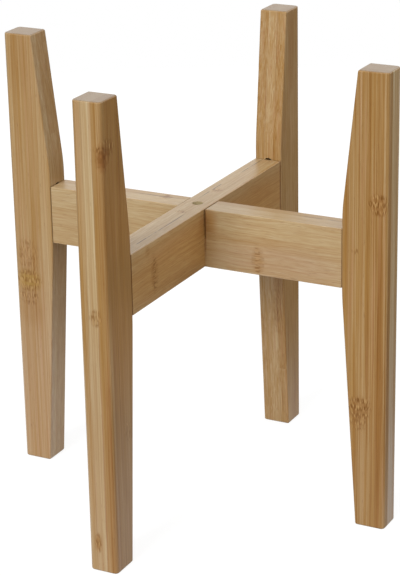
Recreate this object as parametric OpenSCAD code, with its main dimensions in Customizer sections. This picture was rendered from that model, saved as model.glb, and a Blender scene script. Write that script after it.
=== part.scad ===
// Four-legged plant stand of laminated bamboo, in millimetres, Z up.
// Origin on the floor, under the middle of the crossing. The lower rail runs along X, the upper rail
// along Y, and the wide face of each leg lies in the plane of its rail.

/* [Legs] */

// Height of a leg, which is the height of the stand
leg_h = 400; // [340:5:600]
// Thickness of a leg, across its rail
leg_t = 25.5; // [22:0.5:34]
// Width of a leg where the rail enters it
leg_w = 40; // [38:0.5:56]
// Width of a leg at its top
leg_w_top = 27; // [20:0.5:36]
// Width of a leg at its foot
leg_w_foot = 26.5; // [20:0.5:36]
// Straight part of the inner edge above the rail
flat_above = 16; // [4:0.5:30]
// Straight part of the inner edge below the rail
flat_below = 5; // [2:0.5:30]
// Distance over which each bend of the inner edge is eased
bend_ease = 16; // [4:1:24]
// Radius of the roundover along the two outer edges of a leg
leg_edge_out = 3; // [0.5:0.1:5]
// Chamfer along the two inner edges of a leg
leg_edge_in = 0.8; // [0.3:0.1:2]
// Chamfer around the top and the foot
leg_end_c = 1; // [0.3:0.1:2]

/* [Rails] */

// Distance between the outer faces of two opposite legs
stand_span = 358; // [280:2:480]
// Height of the underside of the rails above the floor
rail_under = 214; // [120:1:260]
// Height of a rail
rail_h = 51.5; // [40:0.5:66]
// Thickness of a rail
rail_t = 25; // [20:0.5:30]
// Chamfer along the long edges of a rail
rail_edge = 0.6; // [0.3:0.1:2]

/* [Mortise and tenon] */

// Thickness of a tenon
tenon_t = 10; // [6:0.5:12]
// Length of a tenon inside the leg
tenon_l = 24; // [12:0.5:28]
// Distance by which the round end of a mortise shows past the edge of the rail
mortise_show = 1.3; // [0.4:0.1:2.6]
// Room for glue on each cheek of a tenon
glue_side = 0.05; // [0.02:0.01:0.2]
// Room for glue past the end of a tenon
glue_end = 1; // [0.4:0.1:2]
// Open joint left between the shoulder of a rail and its leg
shoulder_room = 0.35; // [0:0.05:0.8]

/* [Crossing] */

// Room beside a rail where its slot fits it closely
slot_fit = 0.1; // [0.05:0.05:0.5]
// Room on the open side of the slot in the lower rail, towards the front right leg
slot_room = 0.9; // [0.1:0.05:1.5]

/* [Screw] */

// Diameter of the counterbore in the top of the upper rail
bore_d = 9.4; // [8:0.1:11]
// Depth of the counterbore
bore_deep = 7; // [4:0.5:12]
// Diameter of the head of the screw
head_d = 8; // [6.5:0.1:9]
// Height of the head of the screw
head_h = 2.8; // [2:0.1:4]
// Diameter of the screw over its thread
screw_d = 4; // [3:0.1:5]
// Length of the screw under its head
screw_l = 42; // [35:1:50]
// Distance between the turns of the thread
thread_pitch = 1.8; // [1.2:0.1:2.4]
// Width of an arm of the cross recess
recess_w = 1.2; // [0.8:0.1:1.5]

/* [Hidden] */

// Planes shared by the pieces
reach = stand_span / 2;
shoulder = reach - leg_w;
rail_top = rail_under + rail_h;
lap_z = rail_under + rail_h / 2;
bend_low = rail_under - flat_below;
bend_high = rail_top + flat_above;

// The mortise has the round ends of its cutter, and the tenon stops where they begin
mortise_w = tenon_t + 2 * glue_side;
mortise_h = rail_h + 2 * mortise_show;
tenon_h = mortise_h - mortise_w;

// The screw passes freely through the upper rail and bites into the lower one
seat_z = rail_top - bore_deep;
screw_free = 0.25;
screw_grip = 0.05;
shank_l = seat_z - lap_z - 2;
thread_l = screw_l - shank_l;
point_l = 5;
core_d = 0.68 * screw_d;
turns = floor((thread_l - point_l) / thread_pitch);

// Slopes of the inner edge above and below the straight part
slope_high = atan((leg_w - leg_w_top) / (leg_h - bend_high));
slope_low = atan((leg_w - leg_w_foot) / bend_low);

// Flats that make up a quarter round
round_steps = 5;

// Cutters pass this far beyond the faces they open
past = 1;
// Solids that only bound others reach this far
far = 2 * leg_h;

leg_colour = [0.74, 0.60, 0.42];
rail_colour = [0.72, 0.58, 0.41];
steel_colour = [0.62, 0.62, 0.64];

// Rectangle from x0 to x1, centred on y, with its corners chamfered by c
module eased_rect(x0, x1, w, c) {
    polygon([
        [x0 + c, -w / 2],
        [x1 - c, -w / 2],
        [x1, -w / 2 + c],
        [x1, w / 2 - c],
        [x1 - c, w / 2],
        [x0 + c, w / 2],
        [x0, w / 2 - c],
        [x0, -w / 2 + c]
    ]);
}

// Points of a quarter round of radius r about [x, y], from the angle a on
function quarter_round(x, y, r, a) = [
    for (i = [0 : round_steps])
        [x + r * cos(a + 90 * i / round_steps), y + r * sin(a + 90 * i / round_steps)]
];

// Section of a leg: inner edges chamfered, outer edges rounded over
module leg_section() {
    side = leg_t / 2;
    polygon(concat(
        [
            [-leg_w, side - leg_edge_in],
            [-leg_w, -side + leg_edge_in],
            [-leg_w + leg_edge_in, -side]
        ],
        quarter_round(-leg_edge_out, -side + leg_edge_out, leg_edge_out, -90),
        quarter_round(-leg_edge_out, side - leg_edge_out, leg_edge_out, 0),
        [[-leg_w + leg_edge_in, side]]
    ));
}

// Upright bar whose inner face stands at x = -w, turned about that face at height z by the angle a
module leg_bound(w, z, a) {
    translate([-w, 0, z])
        rotate([0, a, 0])
            translate([0, 0, -far / 2])
                linear_extrude(height = far)
                    eased_rect(0, far, leg_t, leg_edge_in);
}

// Blank of a leg: the outer face at x = 0, the foot at z = 0
module leg_blank() {
    intersection() {
        linear_extrude(height = leg_h)
            leg_section();
        leg_bound(leg_w, bend_high, slope_high);
        leg_bound(leg_w, bend_low, -slope_low);
        leg_bound(leg_w - bend_ease / 4 * tan(slope_high), bend_high, slope_high / 2);
        leg_bound(leg_w - bend_ease / 4 * tan(slope_low), bend_low, -slope_low / 2);
    }
}

// Four wedges that chamfer the end of a leg of width w, drawn for a foot at z = 0
module end_wedges(w) {
    for (y = [-1, 1])
        translate([-far / 2, y * leg_t / 2, 0])
            rotate([45, 0, 0])
                translate([0, -leg_end_c / sqrt(2), -leg_end_c / sqrt(2)])
                    cube([far, leg_end_c * sqrt(2), leg_end_c * sqrt(2)]);
    for (x = [-w, 0])
        translate([x, -far / 2, 0])
            rotate([0, 45, 0])
                translate([-leg_end_c / sqrt(2), 0, -leg_end_c / sqrt(2)])
                    cube([leg_end_c * sqrt(2), far, leg_end_c * sqrt(2)]);
}

// Blind slot for the tenon, with the round ends its cutter leaves, open at x = -leg_w
module mortise() {
    flat_h = mortise_h - mortise_w;
    deep = tenon_l + glue_end + past;
    translate([-leg_w - past, -mortise_w / 2, lap_z - flat_h / 2])
        cube([deep, mortise_w, flat_h]);
    for (z = [lap_z - flat_h / 2, lap_z + flat_h / 2])
        translate([-leg_w - past, 0, z])
            rotate([0, 90, 0])
                cylinder(d = mortise_w, h = deep, $fn = 48);
}

// Leg turned to stand at the end of a rail that points along the angle a
module leg(a) {
    color(leg_colour)
        rotate([0, 0, a])
            translate([reach, 0, 0])
                difference() {
                    leg_blank();
                    end_wedges(leg_w_foot);
                    translate([0, 0, leg_h])
                        end_wedges(leg_w_top);
                    mortise();
                }
}

module leg_front_left() {
    leg(270);
}

module leg_front_right() {
    leg(0);
}

module leg_back_left() {
    leg(180);
}

module leg_back_right() {
    leg(90);
}

// Rail along X between two legs, with a tenon at each end
module rail_blank() {
    half_l = shoulder - shoulder_room;
    translate([-half_l, 0, lap_z])
        rotate([0, 90, 0])
            linear_extrude(height = 2 * half_l)
                eased_rect(-rail_h / 2, rail_h / 2, rail_t, rail_edge);
    translate([-shoulder - tenon_l, -tenon_t / 2, lap_z - tenon_h / 2])
        cube([2 * shoulder + 2 * tenon_l, tenon_t, tenon_h]);
}

// Slot of the crossing, from the level of the lap up past the rail, close to the crossing rail on
// its -X side and leaving room on its +X side
module lap_slot(room) {
    translate([-rail_t / 2 - slot_fit, -rail_t, 0])
        cube([rail_t + slot_fit + room, 2 * rail_t, rail_h]);
}

// Rail along Y: slot from below, counterbore and clearance hole for the screw
module cross_rail_upper() {
    color(rail_colour)
        rotate([0, 0, 90])
            difference() {
                rail_blank();
                translate([0, 0, lap_z - rail_h])
                    lap_slot(slot_fit);
                translate([0, 0, seat_z])
                    cylinder(d = bore_d, h = bore_deep + past, $fn = 64);
                translate([0, 0, lap_z - past])
                    cylinder(d = screw_d + 2 * screw_free, h = seat_z - lap_z + 2 * past, $fn = 48);
            }
}

// Rail along X: slot from above, hole for the thread of the screw
module cross_rail_lower() {
    color(rail_colour)
        difference() {
            rail_blank();
            translate([0, 0, lap_z])
                lap_slot(slot_room);
            translate([0, 0, seat_z - screw_l - past])
                cylinder(d = screw_d + 2 * screw_grip, h = screw_l, $fn = 48);
        }
}

// Half outline of the screw, seat of the head at y = 0, thread below it
module screw_outline() {
    polygon(concat(
        [
            [0, head_h],
            [head_d * 0.22, head_h * 0.97],
            [head_d * 0.36, head_h * 0.82],
            [head_d * 0.46, head_h * 0.52],
            [head_d / 2, head_h * 0.2],
            [head_d / 2, 0],
            [screw_d / 2 - 0.1, 0],
            [screw_d / 2 - 0.1, -shank_l],
            [core_d / 2, -shank_l - 0.4]
        ],
        [
            for (i = [1 : turns])
                for (j = [0 : 2])
                    [
                        j == 1 ? screw_d / 2 : core_d / 2,
                        -shank_l - i * thread_pitch + (1 - j) * 0.35
                    ]
        ],
        [
            [core_d / 2, -screw_l + point_l * 0.6],
            [0, -screw_l]
        ]
    ));
}

// Pan-head wood screw with a cross recess
module centre_screw() {
    color(steel_colour)
        translate([0, 0, seat_z])
            difference() {
                rotate_extrude($fn = 64)
                    screw_outline();
                for (a = [0, 90])
                    rotate([0, 0, a])
                        translate([-head_d * 0.27, -recess_w / 2, head_h * 0.35])
                            cube([head_d * 0.54, recess_w, head_h]);
            }
}

leg_front_left();
leg_front_right();
leg_back_left();
leg_back_right();
cross_rail_upper();
cross_rail_lower();
centre_screw();
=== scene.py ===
import math

import bmesh
import bpy
from mathutils import Matrix, Vector


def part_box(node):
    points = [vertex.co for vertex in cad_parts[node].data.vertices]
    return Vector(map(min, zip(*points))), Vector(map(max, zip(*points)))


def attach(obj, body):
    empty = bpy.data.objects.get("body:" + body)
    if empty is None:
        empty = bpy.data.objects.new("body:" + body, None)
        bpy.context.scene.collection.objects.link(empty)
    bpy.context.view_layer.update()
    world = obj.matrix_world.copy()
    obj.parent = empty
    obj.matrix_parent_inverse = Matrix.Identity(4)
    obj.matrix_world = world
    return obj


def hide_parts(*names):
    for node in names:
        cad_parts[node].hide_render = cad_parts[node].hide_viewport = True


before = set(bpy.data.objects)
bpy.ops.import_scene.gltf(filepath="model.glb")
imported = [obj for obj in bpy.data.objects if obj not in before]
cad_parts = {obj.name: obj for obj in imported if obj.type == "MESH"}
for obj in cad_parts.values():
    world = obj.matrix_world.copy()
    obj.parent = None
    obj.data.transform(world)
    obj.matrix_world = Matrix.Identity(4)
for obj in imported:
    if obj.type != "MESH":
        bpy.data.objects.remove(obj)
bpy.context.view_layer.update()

# ---------------------------------------------------------------------------------------------
# Camera. It stands about 1.8 m away, to the front right of the stand and well above the rails,
# so that the tops of both rails show. The lens is long, and the frame is 400 by 576 pixels.
# ---------------------------------------------------------------------------------------------
PICTURE_LONG_SIDE = 576
FOCAL_PIXELS = 2041.75
SENSOR_WIDTH = 36.0
CAMERA_PLACE = Vector((0.7701, -1.4608, 0.8050))
CAMERA_HEADING = math.radians(27.78)
CAMERA_TILT = math.radians(69.5265)
CAMERA_ROLL = math.radians(-1.212)

scene = bpy.context.scene
scene.view_settings.view_transform = "Standard"

camera_data = bpy.data.cameras.new("camera")
camera_data.sensor_width = SENSOR_WIDTH
camera_data.lens = SENSOR_WIDTH * FOCAL_PIXELS / PICTURE_LONG_SIDE
camera = bpy.data.objects.new("camera", camera_data)
camera.location = CAMERA_PLACE
camera.rotation_euler = (
    Matrix.Rotation(CAMERA_HEADING, 3, "Z")
    @ Matrix.Rotation(CAMERA_TILT, 3, "X")
    @ Matrix.Rotation(CAMERA_ROLL, 3, "Z")
).to_euler()
scene.collection.objects.link(camera)
scene.camera = camera


# ---------------------------------------------------------------------------------------------
# Studio. A white table top under the stand, a soft ceiling of light over a room that is brighter
# on the right, and a distant lamp high in front, a little to the left. The table keeps a faint
# shadow, and shows in the lacquer as a bright pool with the dark of the room beyond it.
# ---------------------------------------------------------------------------------------------
def place(tree, kind, inputs=None, **settings):
    """Adds a node to a tree. A value fills the named or numbered input, and an output joins it."""
    node = tree.nodes.new(kind)
    for name, value in settings.items():
        setattr(node, name, value)
    for key, value in (inputs or {}).items():
        if isinstance(value, bpy.types.NodeSocket):
            tree.links.new(value, node.inputs[key])
        else:
            node.inputs[key].default_value = value
    return node


def calc(tree, operation, a, b=0.0, c=0.0):
    """Adds a Math node and returns its value."""
    return place(tree, "ShaderNodeMath", {0: a, 1: b, 2: c}, operation=operation).outputs[0]


def vector(tree, operation, a, b=(0.0, 0.0, 0.0), output=0):
    """Adds a Vector Math node and returns its result."""
    return place(tree, "ShaderNodeVectorMath", {0: a, 1: b}, operation=operation).outputs[output]


def ranged(tree, value, low, high, to_low=0.0, to_high=1.0):
    """Maps a value smoothly from one range to another, and holds it there."""
    return place(
        tree,
        "ShaderNodeMapRange",
        {0: value, 1: low, 2: high, 3: to_low, 4: to_high},
        interpolation_type="SMOOTHSTEP",
    ).outputs[0]


def shader_mix(tree, share, first, second):
    """Adds a Mix Shader node that leads from one shader to another."""
    shaders = {0: share, 1: first.outputs[0], 2: second.outputs[0]}
    return place(tree, "ShaderNodeMixShader", shaders)


def seen_directly(tree):
    """Two masks: the camera's own rays, and those together with glossy and transmission rays."""
    path = place(tree, "ShaderNodeLightPath").outputs
    shiny = calc(tree, "MAXIMUM", path["Is Glossy Ray"], path["Is Transmission Ray"])
    return path["Is Camera Ray"], calc(tree, "MAXIMUM", path["Is Camera Ray"], shiny)


WHITE = (1.0, 1.0, 1.0, 1.0)
HORIZON_LIGHT = 0.52
CEILING_LIGHT = 0.72
RIGHT_SHARE = 0.50
WALL_BRIGHT = 1.20
ROOM_DARK = 0.05
HORIZON_SOFTNESS = 0.12

world = bpy.data.worlds.new("surround")
scene.world = world
world.use_nodes = True
tree = world.node_tree
tree.nodes.clear()
camera_ray, direct_ray = seen_directly(tree)
direction = place(tree, "ShaderNodeTexCoord").outputs["Generated"]
parts = place(tree, "ShaderNodeSeparateXYZ", {0: direction}).outputs
wall = ranged(tree, parts["Z"], -HORIZON_SOFTNESS, 0.0, ROOM_DARK, WALL_BRIGHT)
seen_wall = place(tree, "ShaderNodeMix", {0: camera_ray, 2: wall, 3: 1.0}, data_type="FLOAT")
upward = place(
    tree,
    "ShaderNodeMapRange",
    {0: parts["Z"], 1: 0.0, 2: 1.0, 3: HORIZON_LIGHT, 4: CEILING_LIGHT},
)
rightward = calc(tree, "MULTIPLY_ADD", parts["X"], RIGHT_SHARE, 1.0)
soft_light = calc(tree, "MULTIPLY", upward.outputs[0], rightward)
room = place(tree, "ShaderNodeBackground", {"Color": WHITE, "Strength": soft_light})
backdrop = place(tree, "ShaderNodeBackground", {"Color": WHITE, "Strength": seen_wall.outputs[0]})
surround = shader_mix(tree, direct_ray, room, backdrop)
place(tree, "ShaderNodeOutputWorld", {"Surface": surround.outputs[0]})

MM = 0.001
TABLE_RADIUS = 1.50
TABLE_SEGMENTS = 96
TABLE_DROP = 0.05 * MM
TABLE_GLOW = 0.86
TABLE_SHADE = 0.22
TABLE_TONE = 0.45
POOL_CENTRE = (-0.22, 0.02, 0.0)
POOL_BRIGHT_RADIUS = 0.16
POOL_DARK_RADIUS = 0.58

bm = bmesh.new()
bmesh.ops.create_circle(bm, cap_ends=True, radius=TABLE_RADIUS, segments=TABLE_SEGMENTS)
bmesh.ops.translate(bm, vec=(0.0, 0.0, -TABLE_DROP), verts=bm.verts)
mesh = bpy.data.meshes.new("table_top")
bm.to_mesh(mesh)
bm.free()
table = bpy.data.objects.new("table_top", mesh)
scene.collection.objects.link(table)


def new_material(name):
    """A material with an empty node tree, and that tree."""
    material = bpy.data.materials.new(name)
    material.use_nodes = True
    material.node_tree.nodes.clear()
    return material, material.node_tree


material, tree = new_material("white_table")
camera_ray, direct_ray = seen_directly(tree)
tone = (TABLE_TONE, TABLE_TONE, TABLE_TONE, 1.0)
shade = (TABLE_SHADE, TABLE_SHADE, TABLE_SHADE, 1.0)
paper = place(tree, "ShaderNodeBsdfDiffuse", {"Color": tone})
faint = place(tree, "ShaderNodeBsdfDiffuse", {"Color": shade})
glow = place(tree, "ShaderNodeEmission", {"Color": WHITE, "Strength": TABLE_GLOW})
lit = place(tree, "ShaderNodeAddShader", {0: faint.outputs[0], 1: glow.outputs[0]})
point = place(tree, "ShaderNodeTexCoord").outputs["Object"]
from_pool = vector(tree, "DISTANCE", point, POOL_CENTRE, output="Value")
pool = ranged(tree, from_pool, POOL_BRIGHT_RADIUS, POOL_DARK_RADIUS, 1.0, ROOM_DARK)
sheen = place(tree, "ShaderNodeEmission", {"Color": WHITE, "Strength": pool})
direct = shader_mix(tree, camera_ray, sheen, lit)
shown = shader_mix(tree, direct_ray, paper, direct)
place(tree, "ShaderNodeOutputMaterial", {"Surface": shown.outputs[0]})
table.data.materials.append(material)

LAMP_SPREAD = math.radians(22)
LAMP_STRENGTH = 1.95
LAMP_FROM = Vector((-0.09, -0.86, 0.50))

lamp_data = bpy.data.lights.new("soft_lamp", "SUN")
lamp_data.angle = LAMP_SPREAD
lamp_data.energy = LAMP_STRENGTH
lamp = bpy.data.objects.new("soft_lamp", lamp_data)
lamp.visible_glossy = False
lamp.rotation_euler = LAMP_FROM.to_track_quat("Z", "Y").to_euler()
scene.collection.objects.link(lamp)


# ---------------------------------------------------------------------------------------------
# Legs. Each is sawn from laminated bamboo, three plies of strips that lie along the leg. Its
# outer edge is straight, its inner edge tapers from the rail to both ends, and a round-ended
# mortise takes the tenon of its rail. Its arrises are rounded, and clear satin lacquer seals it.
# ---------------------------------------------------------------------------------------------
LEG_TOP_WIDTH = 27.0 * MM
LEG_FOOT_WIDTH = 26.5 * MM
FLAT_ABOVE = 16.0 * MM
FLAT_BELOW = 5.0 * MM
BEND_LENGTH = 8.0 * MM
OUTER_ROUND = 3.6 * MM
END_ROUND = 1.3 * MM
INNER_ROUND = 1.2 * MM
MORTISE_WIDTH = 10.1 * MM
MORTISE_SHOW = 1.3 * MM
TIGHT_MORTISE_SHOW = 0.85 * MM
MORTISE_DEPTH = 25.0 * MM
MORTISE_SEGMENTS = 32
OVERCUT = 1.0 * MM
HAIR = 0.01 * MM
ARRIS_ANGLE = math.radians(50)
SHARP_ANGLE = math.radians(38)

leg_low, leg_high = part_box("leg_front_right")
rail_low, rail_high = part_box("cross_rail_lower")
reach = leg_high.x
shoulder = leg_low.x
leg_top = leg_high.z
leg_thickness = leg_high.y - leg_low.y
rail_middle = (rail_low.z + rail_high.z) / 2
rail_height = rail_high.z - rail_low.z


def extruded(bm, faces, along):
    """Extrudes the given faces along a vector."""
    grown = bmesh.ops.extrude_face_region(bm, geom=faces)["geom"]
    moved = [v for v in grown if isinstance(v, bmesh.types.BMVert)]
    bmesh.ops.translate(bm, vec=along, verts=moved)


def sawn_board(outline, thickness):
    """A board along X and Z, sawn to its outline and centred on Y 0."""
    bm = bmesh.new()
    side = bm.faces.new([bm.verts.new((x, -thickness / 2, z)) for x, z in outline])
    extruded(bm, [side], (0.0, thickness, 0.0))
    bmesh.ops.recalc_face_normals(bm, faces=bm.faces)
    return bm


def rounded(bm, edges, width, segments):
    """Rounds the given edges over."""
    bmesh.ops.bevel(
        bm,
        geom=edges,
        offset=width,
        offset_type="OFFSET",
        affect="EDGES",
        segments=segments,
        profile=0.5,
        material=-1,
        clamp_overlap=True,
    )


def arrises(bm):
    """The edges where two faces meet sharply."""
    return [e for e in bm.edges if len(e.link_faces) == 2 and e.calc_face_angle() > ARRIS_ANGLE]


def new_piece(name, bm):
    """Makes an object of a finished bmesh, with outward faces."""
    bmesh.ops.recalc_face_normals(bm, faces=bm.faces)
    mesh = bpy.data.meshes.new(name)
    bm.to_mesh(mesh)
    bm.free()
    piece = bpy.data.objects.new(name, mesh)
    scene.collection.objects.link(piece)
    return piece


def shape_with(piece, tool, operation):
    """Cuts or joins a piece with a tool mesh, and removes the tool."""
    modifier = piece.modifiers.new("shape", "BOOLEAN")
    modifier.object = tool
    modifier.operation = operation
    modifier.solver = "EXACT"
    graph = bpy.context.evaluated_depsgraph_get()
    mesh = bpy.data.meshes.new_from_object(piece.evaluated_get(graph))
    piece.modifiers.remove(modifier)
    old = piece.data
    piece.data = mesh
    mesh.name = piece.name
    bpy.data.meshes.remove(old)
    bpy.data.meshes.remove(tool.data)


def dress(piece, material):
    """Shades the rounded arrises smoothly and the flat faces flat, and sets the material."""
    piece.data.shade_smooth()
    piece.data.set_sharp_from_angle(angle=SHARP_ANGLE)
    weighted = piece.modifiers.new("flat_faces", "WEIGHTED_NORMAL")
    weighted.keep_sharp = True
    piece.data.materials.clear()
    piece.data.materials.append(material)


def leg_blank():
    """The leg of the right-hand end of the lower rail, before its mortise is cut."""
    bend_low = rail_low.z - FLAT_BELOW
    bend_high = rail_high.z + FLAT_ABOVE
    outline = [
        (reach, 0.0),
        (reach, leg_top),
        (reach - LEG_TOP_WIDTH, leg_top),
        (shoulder, bend_high),
        (shoulder, bend_low),
        (reach - LEG_FOOT_WIDTH, 0.0),
    ]
    bm = sawn_board(outline, leg_thickness)

    def across(e, x, z):
        return all(abs(v.co.x - x) < MM and abs(v.co.z - z) < MM for v in e.verts)

    def rise(e):
        return abs(e.verts[0].co.z - e.verts[1].co.z)

    bends = [e for e in bm.edges if across(e, shoulder, bend_high) or across(e, shoulder, bend_low)]
    rounded(bm, bends, BEND_LENGTH, segments=6)
    outer = [e for e in bm.edges if all(abs(v.co.x - reach) < MM for v in e.verts)]
    rounded(bm, [e for e in outer if rise(e) > MM], OUTER_ROUND, segments=5)
    level = [e for e in arrises(bm) if rise(e) < HAIR]
    at_ends = [e for e in level if not bend_low < e.verts[0].co.z < bend_high]
    rounded(bm, at_ends, END_ROUND, segments=3)
    rounded(bm, arrises(bm), INNER_ROUND, segments=3)
    return bm


def mortise_cutter(show):
    """A slot with the round ends of its cutter, which show so far above and below the rail."""
    straight = rail_height + 2 * show - MORTISE_WIDTH
    radius = MORTISE_WIDTH / 2
    bm = bmesh.new()
    bmesh.ops.create_circle(bm, cap_ends=True, radius=radius, segments=MORTISE_SEGMENTS)
    turn = Matrix.Rotation(math.radians(90), 3, "Y")
    bmesh.ops.rotate(bm, cent=(0, 0, 0), matrix=turn, verts=bm.verts)
    for v in bm.verts:
        v.co.z += math.copysign(straight / 2, v.co.z) if abs(v.co.z) > HAIR else straight / 2
    bmesh.ops.translate(bm, vec=(shoulder - OVERCUT, 0.0, rail_middle), verts=bm.verts)
    extruded(bm, list(bm.faces), (MORTISE_DEPTH + OVERCUT, 0.0, 0.0))
    return bm


def linear(red, green, blue):
    """The colour of an 8-bit screen value, as the shaders take it."""

    def channel(value):
        value /= 255
        return value / 12.92 if value <= 0.04045 else ((value + 0.055) / 1.055) ** 2.4

    return (channel(red), channel(green), channel(blue), 1.0)


def new_group(name, inputs, outputs):
    """An empty shader group with its sockets, and the nodes that stand for them inside it."""
    group = bpy.data.node_groups.new(name, "ShaderNodeTree")
    for label, kind in inputs:
        group.interface.new_socket(label, in_out="INPUT", socket_type=kind)
    for label, kind in outputs:
        group.interface.new_socket(label, in_out="OUTPUT", socket_type=kind)
    return group, place(group, "NodeGroupInput"), place(group, "NodeGroupOutput")


def blended(tree, share, a, b, way="MIX"):
    """Adds a colour Mix node and returns its colour."""
    colours = {0: share, 6: a, 7: b}
    return place(tree, "ShaderNodeMix", colours, data_type="RGBA", blend_type=way).outputs[2]


def grain_noise(tree, board, grain, offset):
    """Noise drawn out along the board. The offset is the part of the noise that it takes."""
    across, along, detail = grain
    scaled = vector(tree, "MULTIPLY", board, (1 / across, 1 / across, 1 / along))
    moved = vector(tree, "ADD", scaled, offset)
    return place(
        tree,
        "ShaderNodeTexNoise",
        {"Vector": moved, "Scale": 1.0, "Detail": detail, "Roughness": 0.6},
    ).outputs[0]


def about_zero(tree, value):
    """Noise from 0 to 1, moved to lie about 0."""
    return calc(tree, "SUBTRACT", value, 0.5)


# Board coordinates are millimetres: X across the width, Y through the plies, Z along the grain.
# A grain of noise is given as its size across and along the board, and its detail. A range is
# that of the noise over which its effect sets in
SEAM_BACK = -4.9
SEAM_FRONT = 3.8
SEAM_WAVER = (60.0, 70.0, 1.0)
SEAM_WANDER = 2.2
STRIP_WIDTH = 19.5
PLY_SHIFT = 8.7
BOARD_SHIFT = 3.7
LUCK_SPREAD = (40.0, 40.0, 40.0)
STRIP_CONTRAST = 0.26
SWAY = (14.0, 34.0, 1.0)
SWAY_REACH = 3.0
DRIFT = (6.0, 260.0, 1.0)
DRIFT_CONTRAST = 0.30
STREAK = (1.15, 240.0, 2.0)
FIBRE = (0.45, 38.0, 2.0)
FIBRE_CONTRAST = 0.36
FLECK = (0.95, 26.0, 1.0)
FLECK_CONTRAST = 0.30
TONE_STEPS = (
    (0.00, linear(122, 78, 26)),
    (0.25, linear(149, 106, 49)),
    (0.45, linear(164, 127, 76)),
    (0.65, linear(176, 144, 100)),
    (0.85, linear(187, 161, 120)),
    (1.00, linear(198, 177, 140)),
)
HUE = (2.4, 150.0, 1.0)
GOLDEN_STRIP = linear(162, 118, 50)
GOLDEN_RANGE = (0.52, 0.70)
GOLDEN_SHARE = 0.36
ROSY_STRIP = linear(180, 134, 98)
ROSY_RANGE = (0.46, 0.30)
ROSY_SHARE = 0.26
PORE = (0.55, 9.0, 1.0)
PORE_RANGE = (0.66, 0.76)
PORE_DARK = linear(124, 82, 42)
PORE_SHARE = 0.45
PORE_DEPTH = -0.8
GLUE_PATCH = (9.0, 60.0, 2.0)
GLUE_PATCH_RANGE = (0.46, 0.60)
GLUE_HALF_WIDTH = (0.125, 0.40)
GLUE_DARK = linear(112, 78, 42)
GLUE_SHARE = 0.3
GLUE_DEPTH = -0.7


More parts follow.
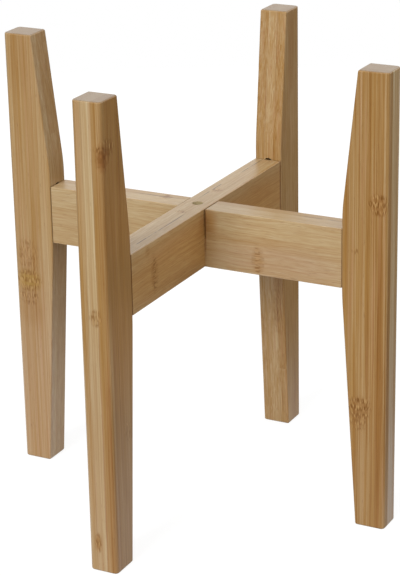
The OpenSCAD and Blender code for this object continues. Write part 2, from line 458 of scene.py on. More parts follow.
def bamboo_board_group():
    """Laminated bamboo in the solid: plies, strips, streaks, fibres, open pores and glue lines."""
    group, given, made = new_group(
        "bamboo_board",
        [
            ("Board", "NodeSocketVector"),
            ("Ply Tones", "NodeSocketVector"),
            ("Seed", "NodeSocketFloat"),
            ("Streakiness", "NodeSocketFloat"),
            ("Wave", "NodeSocketFloat"),
        ],
        [("Color", "NodeSocketColor"), ("Grain", "NodeSocketFloat"), ("Relief", "NodeSocketFloat")],
    )
    board, tones, seed = given.outputs["Board"], given.outputs["Ply Tones"], given.outputs["Seed"]
    streakiness, wave = given.outputs["Streakiness"], given.outputs["Wave"]
    parts = place(group, "ShaderNodeSeparateXYZ", {0: board}).outputs
    waver = about_zero(group, grain_noise(group, board, SEAM_WAVER, (4.0, 1.0, 7.0)))
    through = calc(group, "MULTIPLY_ADD", waver, SEAM_WANDER, parts["Y"])
    past_back = calc(group, "GREATER_THAN", through, SEAM_BACK)
    past_front = calc(group, "GREATER_THAN", through, SEAM_FRONT)
    ply = calc(group, "ADD", past_back, past_front)

    # Strips of each ply start at another place across the board, and each has a tone of its own
    shifted = calc(group, "MULTIPLY_ADD", ply, PLY_SHIFT, parts["X"])
    shifted = calc(group, "MULTIPLY_ADD", seed, BOARD_SHIFT, shifted)
    strip = calc(group, "FLOOR", calc(group, "DIVIDE", shifted, STRIP_WIDTH))
    key = place(group, "ShaderNodeCombineXYZ", {0: ply, 1: strip, 2: seed}).outputs[0]
    luck = place(group, "ShaderNodeTexWhiteNoise", {"Vector": key}, noise_dimensions="3D").outputs
    variety = calc(group, "MINIMUM", streakiness, 1.0)
    own_tone = calc(group, "MULTIPLY", about_zero(group, luck["Value"]), STRIP_CONTRAST)
    own_tone = calc(group, "MULTIPLY", own_tone, variety)

    tone_of = place(group, "ShaderNodeSeparateXYZ", {0: tones}).outputs
    middle = calc(group, "SUBTRACT", past_back, past_front)
    ply_tone = calc(group, "MULTIPLY", tone_of["X"], calc(group, "SUBTRACT", 1.0, past_back))
    ply_tone = calc(group, "MULTIPLY_ADD", tone_of["Y"], middle, ply_tone)
    ply_tone = calc(group, "MULTIPLY_ADD", tone_of["Z"], past_front, ply_tone)

    # Streaks run along a strip and stop at its edges. Where the grain waves they are shorter
    away = vector(group, "MULTIPLY", luck["Color"], LUCK_SPREAD)
    sway = about_zero(group, grain_noise(group, board, SWAY, (6.0, 2.0, 3.0)))
    sway = calc(group, "MULTIPLY", calc(group, "MULTIPLY", sway, wave), SWAY_REACH)
    swayed = calc(group, "ADD", parts["X"], sway)
    shorter = calc(group, "MULTIPLY", parts["Z"], calc(group, "ADD", wave, 1.0))
    grain = place(group, "ShaderNodeCombineXYZ", {0: swayed, 1: parts["Y"], 2: shorter}).outputs[0]
    drift = grain_noise(group, grain, DRIFT, away)
    coarse = grain_noise(group, grain, STREAK, away)
    fine = grain_noise(group, grain, FIBRE, away)
    streaks = calc(group, "MULTIPLY", about_zero(group, coarse), streakiness)
    slow = calc(group, "MULTIPLY", about_zero(group, drift), streakiness)
    tone = calc(group, "ADD", ply_tone, own_tone)
    tone = calc(group, "MULTIPLY_ADD", slow, DRIFT_CONTRAST, tone)
    tone = calc(group, "ADD", tone, streaks)
    tone = calc(group, "MULTIPLY_ADD", about_zero(group, fine), FIBRE_CONTRAST, tone)
    flecks = about_zero(group, grain_noise(group, grain, FLECK, away))
    flecks = calc(group, "MULTIPLY", flecks, wave)
    tone = calc(group, "MULTIPLY_ADD", flecks, FLECK_CONTRAST, tone)
    ramp = place(group, "ShaderNodeValToRGB", {0: tone})
    points = ramp.color_ramp.elements
    for point, (position, colour) in zip(points, (TONE_STEPS[0], TONE_STEPS[-1])):
        point.position = position
        point.color = colour
    for position, colour in TONE_STEPS[1:-1]:
        points.new(position).color = colour

    # Some strips run golden and some rosy
    hue = grain_noise(group, grain, HUE, vector(group, "ADD", away, (17.0, 5.0, 11.0)))
    golden = ranged(group, hue, *GOLDEN_RANGE, 0.0, GOLDEN_SHARE)
    rosy = ranged(group, hue, *ROSY_RANGE, 0.0, ROSY_SHARE)
    colour = ramp.outputs[0]
    colour = blended(group, calc(group, "MULTIPLY", golden, variety), colour, GOLDEN_STRIP)
    colour = blended(group, calc(group, "MULTIPLY", rosy, variety), colour, ROSY_STRIP)

    # Open pores are short dark dashes, and glue lines show here and there between the plies
    pore = ranged(group, grain_noise(group, board, PORE, (9.0, 3.0, 5.0)), *PORE_RANGE)
    colour = blended(group, calc(group, "MULTIPLY", pore, PORE_SHARE), colour, PORE_DARK)
    to_back = calc(group, "ABSOLUTE", calc(group, "SUBTRACT", through, SEAM_BACK))
    to_front = calc(group, "ABSOLUTE", calc(group, "SUBTRACT", through, SEAM_FRONT))
    to_seam = calc(group, "MINIMUM", to_back, to_front)
    near_seam = ranged(group, to_seam, *GLUE_HALF_WIDTH, 1.0, 0.0)
    patches = grain_noise(group, board, GLUE_PATCH, (1.0, 8.0, 2.0))
    glue = calc(group, "MULTIPLY", near_seam, ranged(group, patches, *GLUE_PATCH_RANGE))
    colour = blended(group, calc(group, "MULTIPLY", glue, GLUE_SHARE), colour, GLUE_DARK)

    relief = calc(group, "MULTIPLY_ADD", pore, PORE_DEPTH, fine)
    relief = calc(group, "MULTIPLY_ADD", glue, GLUE_DEPTH, relief)
    group.links.new(colour, made.inputs["Color"])
    group.links.new(coarse, made.inputs["Grain"])
    group.links.new(relief, made.inputs["Relief"])
    return group


DASH_PITCH = 0.90
DASH_LENGTH = 6.0
DASH_SCATTER = (0.37, 0.61, 0.23)
DARK_DASH_RANGE = (0.53, 0.43)
PALE_DASH_RANGE = (0.52, 0.62)
ROW_SPACING = 7.0
ROW_SLANT = 0.06
ROW_RANGE = (-0.9, 0.1)
BETWEEN_ROWS = 0.3
DASH_FADE = (0.55, 1.0)
PATCH_FADE = (0.3, 1.05)


def culm_node_group():
    """The mark where a culm had a node: slanting rows of dark and pale dashes, and their patch."""
    group, given, made = new_group(
        "culm_node",
        [
            ("Board", "NodeSocketVector"),
            ("Centre", "NodeSocketVector"),
            ("Half Size", "NodeSocketVector"),
            ("Fan", "NodeSocketFloat"),
        ],
        [("Dark", "NodeSocketFloat"), ("Pale", "NodeSocketFloat"), ("Patch", "NodeSocketFloat")],
    )
    offset = vector(group, "SUBTRACT", given.outputs["Board"], given.outputs["Centre"])
    share = vector(group, "DIVIDE", offset, given.outputs["Half Size"])
    distance = vector(group, "LENGTH", share, output="Value")
    parts = place(group, "ShaderNodeSeparateXYZ", {0: offset}).outputs
    spread = calc(group, "MULTIPLY_ADD", parts["Z"], given.outputs["Fan"], 1.0)
    sideways = calc(group, "DIVIDE", calc(group, "ADD", parts["X"], parts["Y"]), spread)
    across = calc(group, "DIVIDE", sideways, DASH_PITCH)
    along = calc(group, "DIVIDE", parts["Z"], DASH_LENGTH)
    cell = place(group, "ShaderNodeCombineXYZ", {0: across, 1: along}).outputs[0]
    scatter = vector(group, "MULTIPLY", given.outputs["Centre"], DASH_SCATTER)
    cell = vector(group, "ADD", cell, scatter)
    noise = place(group, "ShaderNodeTexNoise", {"Vector": cell, "Scale": 1.0, "Detail": 0.0})
    dark = ranged(group, noise.outputs[0], *DARK_DASH_RANGE)
    pale = ranged(group, noise.outputs[0], *PALE_DASH_RANGE)

    from_middle = calc(group, "ABSOLUTE", parts["X"])
    slanted = calc(group, "MULTIPLY_ADD", from_middle, -ROW_SLANT, parts["Z"])
    row = calc(group, "COSINE", calc(group, "MULTIPLY", slanted, math.tau / ROW_SPACING))
    in_row = ranged(group, row, *ROW_RANGE, BETWEEN_ROWS, 1.0)
    near = calc(group, "MULTIPLY", ranged(group, distance, *DASH_FADE, 1.0, 0.0), in_row)
    group.links.new(calc(group, "MULTIPLY", dark, near), made.inputs["Dark"])
    group.links.new(calc(group, "MULTIPLY", pale, near), made.inputs["Pale"])
    group.links.new(ranged(group, distance, *PATCH_FADE, 1.0, 0.0), made.inputs["Patch"])
    return group


CRACK_WAVER = (50.0, 45.0, 2.0)
CRACK_WANDER = 0.9
CRACK_HALF_WIDTH = (0.15, 0.60)
CRACK_BREAKS = (30.0, 16.0, 2.0)
CRACK_BREAKS_RANGE = (0.32, 0.50)
CRACK_TAPER = 8.0


def open_seam_group():
    """A stretch of glue line that has opened into a thin dark crack between two plies."""
    group, given, made = new_group(
        "open_seam",
        [
            ("Board", "NodeSocketVector"),
            ("Level", "NodeSocketFloat"),
            ("From", "NodeSocketFloat"),
            ("To", "NodeSocketFloat"),
        ],
        [("Crack", "NodeSocketFloat")],
    )
    board = given.outputs["Board"]
    parts = place(group, "ShaderNodeSeparateXYZ", {0: board}).outputs
    waver = about_zero(group, grain_noise(group, board, CRACK_WAVER, (3.0, 6.0, 1.0)))
    level = calc(group, "MULTIPLY_ADD", waver, CRACK_WANDER, parts["Y"])
    level = calc(group, "SUBTRACT", level, given.outputs["Level"])
    line = ranged(group, calc(group, "ABSOLUTE", level), *CRACK_HALF_WIDTH, 1.0, 0.0)
    past_start = calc(group, "SUBTRACT", parts["Z"], given.outputs["From"])
    past_end = calc(group, "SUBTRACT", parts["Z"], given.outputs["To"])
    begun = ranged(group, past_start, -CRACK_TAPER, CRACK_TAPER)
    going = ranged(group, past_end, -CRACK_TAPER, CRACK_TAPER, 1.0, 0.0)
    breaks = grain_noise(group, board, CRACK_BREAKS, (2.0, 5.0, 9.0))
    line = calc(group, "MULTIPLY", line, ranged(group, breaks, *CRACK_BREAKS_RANGE))
    crack = calc(group, "MULTIPLY", line, calc(group, "MULTIPLY", begun, going))
    group.links.new(crack, made.inputs["Crack"])
    return group


BOARD_SCALE = (1 / MM, 1 / MM, 1 / MM)

# Stains multiply the colour of the wood: above 1 they make it paler. Some stand for light: those
# used at corners, joints and shoulders are painted shade, and the pale, cool ones used low on the
# faces are painted sheen, a painted reflection of the white table
BROWN_STAIN = (0.70, 0.50, 0.18, 1.0)
FLAME_STAIN_AND_PAINTED_SHADE = (0.68, 0.40, 0.09, 1.0)
UMBER_STAIN_AND_PAINTED_SHADE = (0.55, 0.38, 0.24, 1.0)
GOLDEN_STAIN = (1.02, 0.82, 0.53, 1.0)
OLIVE_STAIN = (0.93, 0.89, 0.46, 1.0)
HONEY_STAIN = (0.94, 0.87, 0.73, 1.0)
PAINTED_TABLE_SHEEN = (0.98, 0.98, 1.14, 1.0)
PALE_PAINTED_TABLE_SHEEN = (1.18, 1.18, 1.32, 1.0)
STRONG_PAINTED_TABLE_SHEEN = (1.30, 1.65, 2.70, 1.0)
DASH_DARK = linear(124, 80, 26)
DASH_PALE = linear(190, 152, 98)
PALE_DASH_SHARE = 0.7
DASH_DEPTH = -0.3
CRACK_DARK = linear(52, 32, 14)
CRACK_SHARE = 0.9
CRACK_DEPTH = -1.5
END_GRAIN = linear(140, 119, 94)
END_SHARE = 0.75
END_DEPTH = (0.1, 0.9)
# Painted light inside the counterbore, against its shade
BORE_PAINTED_LIGHT = linear(192, 174, 134)
RELIEF_HEIGHT = 0.08 * MM
RELIEF_STRENGTH = 0.25
SMOOTHEST = 0.33
GRAIN_ROUGHNESS = 0.14
LACQUER = {"IOR": 1.5, "Coat Weight": 0.15, "Coat Roughness": 0.3, "Coat IOR": 1.5}

bamboo_board = bamboo_board_group()
culm_node = culm_node_group()
open_seam = open_seam_group()


def bamboo(name, turn, shift, board_look, marks, ends, seams=(), bore_light_radius=0.0):
    """Lacquered bamboo for one board: how its board coordinates lie, its look, marks and cracks."""
    material, tree = new_material(name)
    coordinates = place(tree, "ShaderNodeTexCoord").outputs["Object"]
    board = place(
        tree,
        "ShaderNodeMapping",
        {"Vector": coordinates, "Location": shift, "Rotation": turn, "Scale": BOARD_SCALE},
    ).outputs[0]
    wood = place(tree, "ShaderNodeGroup", {"Board": board, **board_look}, node_tree=bamboo_board)
    colour, relief = wood.outputs["Color"], wood.outputs["Relief"]

    # Sawn ends drink more lacquer. At the rails the end colour is painted shade instead: it darkens
    # the ends and their eased arrises, where the gap against the leg lies in shadow
    along = place(tree, "ShaderNodeSeparateXYZ", {0: board}).outputs["Z"]
    for end, end_colour in ends:
        from_end = calc(tree, "ABSOLUTE", calc(tree, "SUBTRACT", along, end))
        at_end = ranged(tree, from_end, *END_DEPTH, END_SHARE, 0.0)
        colour = blended(tree, at_end, colour, end_colour)
    if bore_light_radius:
        # Inside the counterbore the wood is painted lighter: painted light against the shade of the
        # bore
        flat = vector(tree, "MULTIPLY", coordinates, (1.0, 1.0, 0.0))
        from_axis = vector(tree, "LENGTH", flat, output="Value")
        colour = blended(tree, calc(tree, "LESS_THAN", from_axis, bore_light_radius), colour, BORE_PAINTED_LIGHT)
    for centre, half_size, tint, stain, *dashes in marks:
        strength, fan = dashes or (0.0, 0.0)
        spot = {"Board": board, "Centre": centre, "Half Size": half_size, "Fan": fan}
        mark = place(tree, "ShaderNodeGroup", spot, node_tree=culm_node).outputs
        patch = calc(tree, "MULTIPLY", mark["Patch"], tint)
        colour = blended(tree, patch, colour, stain, "MULTIPLY")
        if dashes:
            dark = calc(tree, "MULTIPLY", mark["Dark"], strength)
            pale = calc(tree, "MULTIPLY", mark["Pale"], strength * PALE_DASH_SHARE)
            colour = blended(tree, pale, colour, DASH_PALE)
            colour = blended(tree, dark, colour, DASH_DARK)
            relief = calc(tree, "MULTIPLY_ADD", dark, DASH_DEPTH, relief)
    for level, start, end in seams:
        stretch = {"Board": board, "Level": level, "From": start, "To": end}
        seam = place(tree, "ShaderNodeGroup", stretch, node_tree=open_seam).outputs
        crack = calc(tree, "MULTIPLY", seam["Crack"], CRACK_SHARE)
        colour = blended(tree, crack, colour, CRACK_DARK)
        relief = calc(tree, "MULTIPLY_ADD", crack, CRACK_DEPTH, relief)
    bump = place(
        tree,
        "ShaderNodeBump",
        {"Strength": RELIEF_STRENGTH, "Distance": RELIEF_HEIGHT, "Height": relief},
    )
    roughness = calc(tree, "MULTIPLY_ADD", wood.outputs["Grain"], GRAIN_ROUGHNESS, SMOOTHEST)
    look = {"Base Color": colour, "Roughness": roughness, "Normal": bump.outputs[0], **LACQUER}
    shader = place(tree, "ShaderNodeBsdfPrincipled", look)
    place(tree, "ShaderNodeOutputMaterial", {"Surface": shader.outputs[0]})
    return material


# Marks are (centre, half size, tint, stain) in board coordinates, and go on with the strength and
# the fan of the dashes where a node shows. Where the stain is a painted shade or a painted sheen,
# the mark is painted light. The outer edge of a leg is at X 0, its inner edge at X -40, its faces
# at Y -12.75 and 12.75, its foot at Z 0. The mortise at the back left shows less
LEGS = {
    "leg_front_left": {
        "angle": 270,
        "mortise_show": MORTISE_SHOW,
        "look": {"Ply Tones": (0.68, 0.88, 0.36), "Seed": 2.2, "Streakiness": 0.85, "Wave": 0.15},
        "marks": [
            ((-8.0, 12.0, 362.0), (14.0, 9.0, 9.0), 0.40, BROWN_STAIN, 0.90, 0.01),
            ((-4.0, 12.0, 354.0), (9.0, 7.0, 13.0), 0.66, FLAME_STAIN_AND_PAINTED_SHADE, 0.50, 0.01),
            ((-28.0, 13.0, 118.0), (10.0, 6.0, 13.0), 0.15, BROWN_STAIN, 0.35, 0.02),
            ((0.0, 2.0, 224.0), (4.0, 7.0, 9.0), 0.30, BROWN_STAIN, 0.60, 0.02),
            ((0.0, -4.0, 26.0), (4.0, 4.0, 11.0), 0.80, BROWN_STAIN, 0.60, 0.02),
            ((0.0, 11.0, 60.0), (12.0, 6.0, 150.0), 0.52, BROWN_STAIN),
            ((-1.0, 12.0, 290.0), (10.0, 6.0, 110.0), 0.42, BROWN_STAIN),
            ((0.0, -3.0, 30.0), (9.0, 24.0, 230.0), 0.22, BROWN_STAIN),
            # The pale, cool sheen patches below are a painted reflection of the white table on the
            # lower faces
            ((-15.0, 14.0, 85.0), (26.0, 7.0, 230.0), 0.28, STRONG_PAINTED_TABLE_SHEEN),
            ((0.0, -2.0, 60.0), (9.0, 15.0, 190.0), 0.22, STRONG_PAINTED_TABLE_SHEEN),
            ((0.0, 0.0, 60.0), (9.0, 7.0, 190.0), 0.30, BROWN_STAIN),
            ((-22.0, 14.0, 190.0), (30.0, 8.0, 75.0), 0.90, PALE_PAINTED_TABLE_SHEEN),
            ((-22.0, 14.0, 310.0), (30.0, 8.0, 60.0), 0.80, HONEY_STAIN),
            ((-16.0, 14.0, 30.0), (30.0, 8.0, 130.0), 0.90, PAINTED_TABLE_SHEEN),
            ((-11.0, -13.0, 240.0), (11.0, 6.0, 13.0), 0.20, BROWN_STAIN, 0.55, 0.02),
            ((-30.0, -13.0, 150.0), (10.0, 6.0, 12.0), 0.20, BROWN_STAIN, 0.50, 0.02),
        ],
    },
    "leg_front_right": {
        "angle": 0,
        "mortise_show": MORTISE_SHOW,
        "look": {"Ply Tones": (0.30, 0.80, 0.60), "Seed": 4.1, "Streakiness": 1.20, "Wave": 0.15},
        "marks": [
            ((-23.0, -13.0, 109.0), (13.0, 7.0, 13.5), 0.50, BROWN_STAIN, 1.00, 0.02),
            ((-7.5, -13.0, 290.0), (11.5, 6.0, 11.5), 0.45, BROWN_STAIN, 0.95, 0.02),
            ((-28.0, -13.0, 248.0), (4.0, 5.0, 4.0), 0.15, BROWN_STAIN, 0.50, 0.02),
            ((-24.0, -13.0, 96.0), (10.0, 7.0, 9.0), 0.20, BROWN_STAIN, 0.55, 0.02),
            # Painted sheen on the lower outer edge: a painted reflection of the white table
            ((2.0, 0.0, 60.0), (8.0, 34.0, 180.0), 1.00, PAINTED_TABLE_SHEEN),
            ((3.0, 0.0, 20.0), (6.0, 40.0, 130.0), 0.25, STRONG_PAINTED_TABLE_SHEEN),
            ((-6.0, -13.0, 130.0), (5.0, 7.0, 240.0), 0.58, BROWN_STAIN),
            ((-22.0, -14.0, 40.0), (22.0, 8.0, 110.0), 0.15, UMBER_STAIN_AND_PAINTED_SHADE),
            ((-10.0, 13.0, 150.0), (10.0, 6.0, 12.0), 0.20, BROWN_STAIN, 0.60, 0.02),
            ((-26.0, 13.0, 330.0), (10.0, 6.0, 11.0), 0.20, BROWN_STAIN, 0.60, 0.02),
        ],
    },
    "leg_back_left": {
        "angle": 180,
        "mortise_show": TIGHT_MORTISE_SHOW,
        "look": {"Ply Tones": (0.56, 0.62, 0.57), "Seed": 7.6, "Streakiness": 0.90, "Wave": 0.15},
        "marks": [
            ((-14.0, 13.0, 175.0), (15.5, 7.0, 13.0), 0.95, OLIVE_STAIN, 0.70, 0.02),
            ((-14.0, 13.0, 197.0), (13.0, 7.0, 22.0), 0.20, FLAME_STAIN_AND_PAINTED_SHADE, 0.42, 0.02),
            ((-13.0, 13.0, 160.0), (12.0, 7.0, 11.0), 0.20, BROWN_STAIN, 0.65, 0.02),
            ((-15.0, 13.0, 145.0), (16.0, 7.0, 18.0), 0.24, BROWN_STAIN),
            ((-14.0, 13.0, 380.0), (14.0, 7.0, 45.0), 0.25, BROWN_STAIN),
            # Painted sheen towards the foot: a painted reflection of the white table
            ((-18.0, 13.0, 60.0), (46.0, 9.0, 190.0), 0.90, PAINTED_TABLE_SHEEN),
            ((-12.0, -13.0, 90.0), (11.0, 6.0, 12.0), 0.20, BROWN_STAIN, 0.60, 0.02),
            ((-27.0, -13.0, 300.0), (10.0, 6.0, 12.0), 0.20, BROWN_STAIN, 0.60, 0.02),
        ],
    },
    "leg_back_right": {
        "angle": 90,
        "mortise_show": MORTISE_SHOW,
        "look": {"Ply Tones": (0.44, 0.68, 0.56), "Seed": 2.9, "Streakiness": 0.90, "Wave": 1.2},
        "marks": [
            ((-12.0, -13.0, 190.0), (11.0, 6.0, 13.0), 0.20, BROWN_STAIN, 0.50, 0.02),
            ((-35.0, -5.0, 130.0), (9.0, 6.0, 50.0), 0.40, BROWN_STAIN, 0.30, 0.00),
            ((-16.0, -14.0, 90.0), (36.0, 9.0, 150.0), 0.90, HONEY_STAIN),
            # Painted sheen along the inner face: a painted reflection of the white table
            ((-34.0, 10.0, 200.0), (30.0, 9.0, 400.0), 0.13, STRONG_PAINTED_TABLE_SHEEN),
            ((-10.0, -13.0, 20.0), (12.0, 7.0, 70.0), 0.40, BROWN_STAIN),
            ((-18.0, -13.0, 370.0), (9.0, 7.0, 60.0), 0.45, BROWN_STAIN),
            ((-10.0, 13.0, 130.0), (11.0, 6.0, 12.0), 0.20, BROWN_STAIN, 0.60, 0.02),
            ((-28.0, 13.0, 320.0), (10.0, 6.0, 12.0), 0.20, BROWN_STAIN, 0.60, 0.02),
        ],
    },
}

for name, leg in LEGS.items():
    piece = new_piece(name + "_board", leg_blank())
    shape_with(piece, new_piece("mortise", mortise_cutter(leg["mortise_show"])), "DIFFERENCE")
    piece.data.transform(Matrix.Rotation(math.radians(leg["angle"]), 4, "Z"))
    material = bamboo(
        name + "_bamboo",
        turn=(0.0, 0.0, -math.radians(leg["angle"])),
        shift=(-reach / MM, 0.0, 0.0),
        board_look=leg["look"],
        marks=leg["marks"],
        ends=((0.0, END_GRAIN), (leg_top / MM, END_GRAIN)),
    )
    dress(piece, material)
    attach(piece, "root")
    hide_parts(name)


# ---------------------------------------------------------------------------------------------
# Cross rails. Two bamboo boards on edge, halved into each other where they cross, their tenons
# glued into the legs. The lower rail stands tight to its right leg, and its slot is a little
# wide, so that a dark gap shows beside the upper rail; painted shade darkens the slot's wall and
# the shoulders. The upper rail is counterbored.
# ---------------------------------------------------------------------------------------------
RAIL_ROUND = 0.5 * MM
SHOULDER_ROOM = 0.35 * MM
TIGHT_ROOM = 0.08 * MM
SHOULDER_EASE = 0.60 * MM
# Painted shade at the shoulders of the rails: dark in the gaps against the legs, fainter where the
# lower rail stands tight to its right leg
SHOULDER_PAINTED_SHADE = linear(96, 62, 28)
SHOULDER_FAINT_PAINTED_SHADE = linear(160, 124, 80)
TENON_THICKNESS = 10.0 * MM
TENON_LENGTH = 24.0 * MM
TENON_EASE = 0.5 * MM
SLOT_FIT = 0.1 * MM
SLOT_ROOM = 0.9 * MM
SLOT_EASE = 0.60 * MM
BORE_RADIUS = 4.7 * MM
BORE_DEPTH = 7.0 * MM
BORE_RIM = 0.05 * MM
SHANK_HOLE_RADIUS = 2.25 * MM
THREAD_HOLE_RADIUS = 2.05 * MM
DRILL_SEGMENTS = 64
SCREW_LENGTH = 42.0 * MM

rail_thickness = rail_high.y - rail_low.y
rail_top = rail_high.z
rail_end = shoulder - SHOULDER_ROOM
half_slot = rail_thickness / 2 + SLOT_FIT
bore_floor = rail_top - BORE_DEPTH


def rail_blank(start, end, slot_start, slot_end, slot_from_below):
    """Rail along X, drawn from the side with its slot, thickened, its arrises eased."""
    bottom, top, lap = rail_low.z, rail_high.z, rail_middle
    notch = [(slot_start, bottom), (slot_start, lap), (slot_end, lap), (slot_end, bottom)]
    outline = [(start, bottom), *notch, (end, bottom), (end, top), (start, top)]
    if not slot_from_below:
        outline = [(x, 2 * lap - z) for x, z in outline]
    bm = sawn_board(outline, rail_thickness)

    def run(e):
        return abs(e.verts[0].co.x - e.verts[1].co.x)

    def arrises_at(x):
        return [e for e in arrises(bm) if all(abs(v.co.x - x) < HAIR for v in e.verts)]

    rounded(bm, [e for e in arrises(bm) if run(e) > 2 * rail_thickness], RAIL_ROUND, segments=3)
    for x in (start, end):
        rounded(bm, arrises_at(x), SHOULDER_EASE, segments=2)
    if slot_end > half_slot:
        rounded(bm, arrises_at(slot_end), SLOT_EASE, segments=2)
    return bm


def block(size, centre):
    """A rectangular block."""
    bm = bmesh.new()
    bmesh.ops.create_cube(bm, size=1.0)
    bmesh.ops.scale(bm, vec=size, verts=bm.verts)
    bmesh.ops.translate(bm, vec=centre, verts=bm.verts)
    return bm


def tenons():
    """The two tenons, as one bar that runs on through the rail."""
    length = 2 * (shoulder + TENON_LENGTH)
    height = rail_height + 2 * MORTISE_SHOW - MORTISE_WIDTH
    bm = block((length, TENON_THICKNESS, height), (0.0, 0.0, rail_middle))
    rounded(bm, arrises(bm), TENON_EASE, segments=1)
    return bm


def slot_block(start, end, low, high):
    """A block that clears the slot where the tenon bar runs through it."""
    size = (end - start, 2 * rail_thickness, high - low)
    return block(size, ((start + end) / 2, 0.0, (low + high) / 2))


def drill(radius, low, high):
    """A drill that leaves a round hole between two heights."""
    bm = bmesh.new()
    bmesh.ops.create_cone(
        bm,
        cap_ends=True,
        segments=DRILL_SEGMENTS,
        radius1=radius,
        radius2=radius,
        depth=high - low,
    )
    bmesh.ops.translate(bm, vec=(0.0, 0.0, (low + high) / 2), verts=bm.verts)
    return bm


# Board coordinates of a rail: its top at X 25.75, its faces at Y -12.5 and 12.5, the crossing at
# Z 0. Seams are (level, from, to): a crack at that Y between two places along Z. Ends and slots
# are metres along the rail, and holes are (radius, bottom, top)
RAILS = {
    "cross_rail_upper": {
        "ends": (-rail_end, rail_end),
        "right_end_painted_shade": SHOULDER_PAINTED_SHADE,
        "slot": (-half_slot, half_slot),
        "from_below": True,
        "holes": [
            (BORE_RADIUS, bore_floor, rail_top + OVERCUT),
            (SHANK_HOLE_RADIUS, rail_middle - OVERCUT, bore_floor + OVERCUT),
        ],
        "bore_light_radius": BORE_RADIUS + BORE_RIM,
        "place": Matrix.Rotation(math.radians(90), 4, "Z"),
        "turn": (math.radians(90), 0.0, math.radians(90)),
        "look": {"Ply Tones": (0.70, 0.80, 0.76), "Seed": 5.2, "Streakiness": 0.75, "Wave": 1.2},
        "marks": [
            ((-4.0, 14.0, 0.0), (42.0, 8.0, 300.0), 1.00, GOLDEN_STAIN),
            ((-3.0, 13.0, -101.0), (20.0, 6.0, 7.0), 0.40, BROWN_STAIN, 0.65, 0.01),
            ((20.0, 13.0, -112.0), (6.0, 6.0, 5.0), 0.30, BROWN_STAIN, 0.20, 0.01),
            ((25.8, -1.5, 39.0), (3.0, 6.0, 6.0), 0.22, BROWN_STAIN, 0.85, 0.02),
            ((25.8, -2.0, -26.0), (3.0, 6.0, 5.0), 0.22, BROWN_STAIN, 0.85, 0.02),
            ((6.0, 14.0, 118.0), (60.0, 9.0, 80.0), 0.90, HONEY_STAIN),
            # Painted shade in the corner beside the crossing
            ((14.0, 14.0, -16.0), (15.0, 8.0, 9.0), 0.30, FLAME_STAIN_AND_PAINTED_SHADE),
            # Painted shade: the shoulder of the upper rail darkened where it meets the back right
            # leg
            ((0.0, 12.5, 138.7), (90.0, 12.0, 3.0), 0.90, UMBER_STAIN_AND_PAINTED_SHADE),
            ((6.0, -13.0, 70.0), (11.0, 6.0, 11.0), 0.20, BROWN_STAIN, 0.50, 0.02),
        ],
        "seams": [(3.8, -118.0, -34.0), (-5.5, 20.0, 60.0), (-4.9, 96.0, 138.0)],
    },
    "cross_rail_lower": {
        "ends": (-rail_end, shoulder - TIGHT_ROOM),
        "right_end_painted_shade": SHOULDER_FAINT_PAINTED_SHADE,
        "slot": (-half_slot, rail_thickness / 2 + SLOT_ROOM),
        "from_below": False,
        "holes": [(THREAD_HOLE_RADIUS, bore_floor - SCREW_LENGTH - OVERCUT, rail_middle + OVERCUT)],
        "bore_light_radius": 0.0,
        "place": Matrix.Identity(4),
        "turn": (0.0, math.radians(90), 0.0),
        "look": {"Ply Tones": (0.79, 0.82, 0.70), "Seed": 8.4, "Streakiness": 0.55, "Wave": 1.2},
        "marks": [
            ((-13.0, -13.0, -62.5), (16.0, 6.0, 7.0), 0.35, BROWN_STAIN, 0.60, 0.00),
            # The brown and flame patches beside the crossing are painted shade in the corner by the
            # upper rail
            ((0.0, -14.0, -10.0), (70.0, 7.0, 17.0), 0.35, BROWN_STAIN),
            ((15.0, -14.0, -15.0), (17.0, 8.0, 13.0), 0.55, FLAME_STAIN_AND_PAINTED_SHADE),
            # Painted sheen on the lower part of the side: a painted reflection of the white table
            ((-14.0, -14.0, -85.0), (26.0, 8.0, 85.0), 0.90, PAINTED_TABLE_SHEEN),
            # Painted shade: the slot's end wall darkened, where the gap beside the upper rail lies
            # in shadow
            ((12.9, 0.0, -13.0), (45.0, 45.0, 1.9), 0.95, UMBER_STAIN_AND_PAINTED_SHADE),
            ((25.8, 4.0, 33.0), (3.0, 7.0, 7.0), 0.22, BROWN_STAIN, 0.85, 0.02),
            ((5.0, 13.0, 80.0), (11.0, 6.0, 11.0), 0.20, BROWN_STAIN, 0.50, 0.02),
        ],
        "seams": [(4.2, -130.0, -90.0), (4.4, 22.0, 60.0)],
    },
}

for name, rail in RAILS.items():
    left_end, right_end = rail["ends"]
    blank = rail_blank(left_end, right_end, *rail["slot"], rail["from_below"])
    piece = new_piece(name + "_board", blank)
    shape_with(piece, new_piece("tenon", tenons()), "UNION")
    if rail["from_below"]:
        slot_low, slot_high = rail_low.z - OVERCUT, rail_middle
    else:
        slot_low, slot_high = rail_middle, rail_top + OVERCUT
    slot = new_piece("slot", slot_block(*rail["slot"], slot_low, slot_high))
    shape_with(piece, slot, "DIFFERENCE")
    for hole in rail["holes"]:
        shape_with(piece, new_piece("drill", drill(*hole)), "DIFFERENCE")
    piece.data.transform(rail["place"])
    material = bamboo(
        name + "_bamboo",
        turn=rail["turn"],
        shift=(-rail_middle / MM, 0.0, 0.0),
        board_look=rail["look"],
        marks=rail["marks"],
        ends=((-right_end / MM, rail["right_end_painted_shade"]), (-left_end / MM, SHOULDER_PAINTED_SHADE)),
        seams=rail["seams"],
        bore_light_radius=rail["bore_light_radius"],
    )
    dress(piece, material)
    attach(piece, "root")
    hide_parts(name)


# ---------------------------------------------------------------------------------------------
# Screw. A zinc-plated pan-head wood screw with a cross recess. It stands in the counterbore of
# the upper rail, passes freely through it and bites into the lower rail.
# ---------------------------------------------------------------------------------------------
HEAD_RADIUS = 4.0 * MM
HEAD_HEIGHT = 2.8 * MM
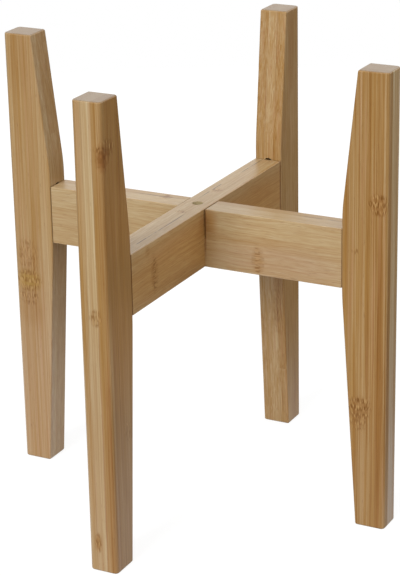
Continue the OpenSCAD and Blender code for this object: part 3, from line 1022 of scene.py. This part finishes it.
# Shares of the radius and height of the head, from the middle of its top to its rim
HEAD_DOME = (
    (0.0, 1.0),
    (0.22, 0.985),
    (0.44, 0.97),
    (0.72, 0.82),
    (0.92, 0.52),
    (1.0, 0.2),
    (1.0, 0.0),
)
TURNED_SEGMENTS = 64
TURNED_WELD = 0.001 * MM
SHANK_RADIUS = 1.9 * MM
THREAD_ABOVE_LAP = 2.0 * MM
THREAD_RADIUS = 2.0 * MM
THREAD_PITCH = 1.8 * MM
THREAD_RINGS_PER_TURN = 8
CORE_RADIUS = 1.36 * MM
POINT_LENGTH = 5.0 * MM
CORE_TAPER = 0.7
THREAD_TAPER = 0.5
RECESS_WIDTH = 1.2 * MM
RECESS_REACH = 2.16 * MM
RECESS_DEPTH = 1.8 * MM
RECESS_NARROWING = (0.55, 0.7, 1.0)
RECESS_WELD = 0.0005 * MM
ZINC_LIGHT = linear(196, 198, 202)
ZINC_DULL = linear(158, 160, 166)
ZINC_RELIEF = 0.02 * MM
ZINC_RELIEF_STRENGTH = 0.2
ZINC_SMOOTHEST = 0.2
ZINC_ROUGHNESS = 0.25
CLOUD_SCALE = 900.0

thread_top = rail_middle + THREAD_ABOVE_LAP
point_tip = bore_floor - SCREW_LENGTH


def screw_body():
    """The screw turned about its axis, with the thread raised from its core."""
    outline = [(HEAD_RADIUS * r, bore_floor + HEAD_HEIGHT * h) for r, h in HEAD_DOME]
    outline += [(SHANK_RADIUS, bore_floor), (SHANK_RADIUS, thread_top)]
    step = THREAD_PITCH / THREAD_RINGS_PER_TURN
    rings = int((thread_top - point_tip) / step)
    outline += [(CORE_RADIUS, thread_top - i * step) for i in range(1, rings)]
    outline.append((0.0, point_tip))
    bm = bmesh.new()
    points = [bm.verts.new((r, 0.0, z)) for r, z in outline]
    edges = [bm.edges.new(pair) for pair in zip(points, points[1:])]
    bmesh.ops.spin(
        bm,
        geom=points + edges,
        cent=(0.0, 0.0, 0.0),
        axis=(0.0, 0.0, 1.0),
        angle=math.tau,
        steps=TURNED_SEGMENTS,
        use_merge=True,
    )
    bmesh.ops.remove_doubles(bm, verts=bm.verts, dist=TURNED_WELD)
    for v in bm.verts:
        if v.co.z > thread_top - 0.5 * step or math.hypot(v.co.x, v.co.y) < HAIR:
            continue
        turns = (thread_top - v.co.z) / THREAD_PITCH + math.atan2(v.co.y, v.co.x) / math.tau
        crest = max(0.0, 1 - 4 * abs(turns % 1.0 - 0.5))
        start = min(1.0, (thread_top - v.co.z) / THREAD_PITCH)
        point = min(1.0, (v.co.z - point_tip) / POINT_LENGTH)
        ridge = (THREAD_RADIUS - CORE_RADIUS) * crest * start * point**THREAD_TAPER
        v.co.xy = v.co.xy.normalized() * (CORE_RADIUS * point**CORE_TAPER + ridge)
    return bm


def recess_arm(angle):
    """One arm of the driver's cross, narrower at its bottom."""
    bm = block((2 * RECESS_REACH, RECESS_WIDTH, 2 * RECESS_DEPTH), (0.0, 0.0, 0.0))
    lower = [v for v in bm.verts if v.co.z < 0]
    bmesh.ops.scale(bm, vec=RECESS_NARROWING, verts=lower)
    turn = Matrix.Rotation(math.radians(angle), 3, "Z")
    bmesh.ops.rotate(bm, cent=(0, 0, 0), matrix=turn, verts=bm.verts)
    bmesh.ops.translate(bm, vec=(0.0, 0.0, bore_floor + HEAD_HEIGHT), verts=bm.verts)
    return bm


def zinc():
    """Bright zinc plating, faintly cloudy."""
    material, tree = new_material("zinc_plate")
    coordinates = place(tree, "ShaderNodeTexCoord").outputs["Object"]
    cloud = place(
        tree,
        "ShaderNodeTexNoise",
        {"Vector": coordinates, "Scale": CLOUD_SCALE, "Detail": 3.0},
    ).outputs[0]
    colour = blended(tree, cloud, ZINC_LIGHT, ZINC_DULL)
    roughness = calc(tree, "MULTIPLY_ADD", cloud, ZINC_ROUGHNESS, ZINC_SMOOTHEST)
    bump = place(
        tree,
        "ShaderNodeBump",
        {"Strength": ZINC_RELIEF_STRENGTH, "Distance": ZINC_RELIEF, "Height": cloud},
    ).outputs[0]
    look = {"Base Color": colour, "Metallic": 1.0, "Roughness": roughness, "Normal": bump}
    metal = place(tree, "ShaderNodeBsdfPrincipled", look)
    place(tree, "ShaderNodeOutputMaterial", {"Surface": metal.outputs[0]})
    return material


piece = new_piece("centre_screw_zinc", screw_body())
for angle in (0, 90):
    shape_with(piece, new_piece("recess_arm", recess_arm(angle)), "DIFFERENCE")

# The cuts of the two arms leave near-double points where they meet
bm = bmesh.new()
bm.from_mesh(piece.data)
bmesh.ops.remove_doubles(bm, verts=bm.verts, dist=RECESS_WELD)
bm.to_mesh(piece.data)
bm.free()
dress(piece, zinc())
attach(piece, "root")
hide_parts("centre_screw")
